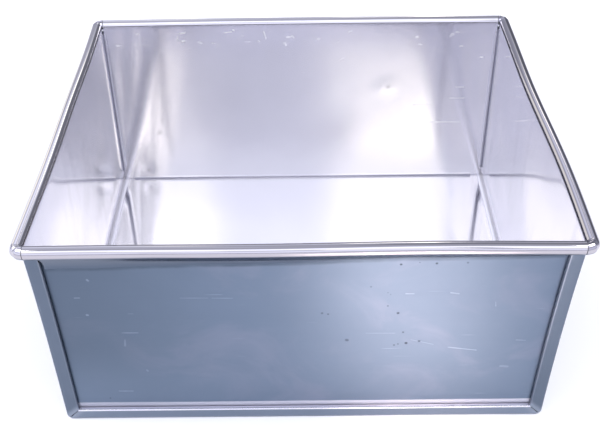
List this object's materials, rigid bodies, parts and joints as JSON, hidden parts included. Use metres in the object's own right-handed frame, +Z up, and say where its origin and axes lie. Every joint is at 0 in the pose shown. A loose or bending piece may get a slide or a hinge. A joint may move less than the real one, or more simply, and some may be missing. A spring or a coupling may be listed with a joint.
{
  "type": "bread roll pan",
  "caption": "Deep open rectangular sheet-metal baking pan with folded end seams and a rolled rim over a stiffening wire, for baking batches of bread rolls.",
  "frame": {"origin": "middle of the underside, on the surface that the pan stands on", "axes": "+X along the longer side, +Y from the front panel to the back panel, +Z up through the open top"},
  "size_m": [0.305, 0.266, 0.1395],
  "materials": {
    "trough_sheet": "bright rolled aluminium sheet, semi-mirror, with fine rolling lines, scratches and dull smudges from use",
    "panel_sheet": "bright rolled aluminium sheet, semi-mirror, with fine rolling lines, scratches and dark specks from use",
    "wire": "drawn steel wire, hidden inside the rolled rim"
  },
  "bodies": {
    "root": {"trough": "trough_sheet", "front_panel": "panel_sheet", "back_panel": "panel_sheet", "rim_wire": "wire"}
  },
  "joints": []
}
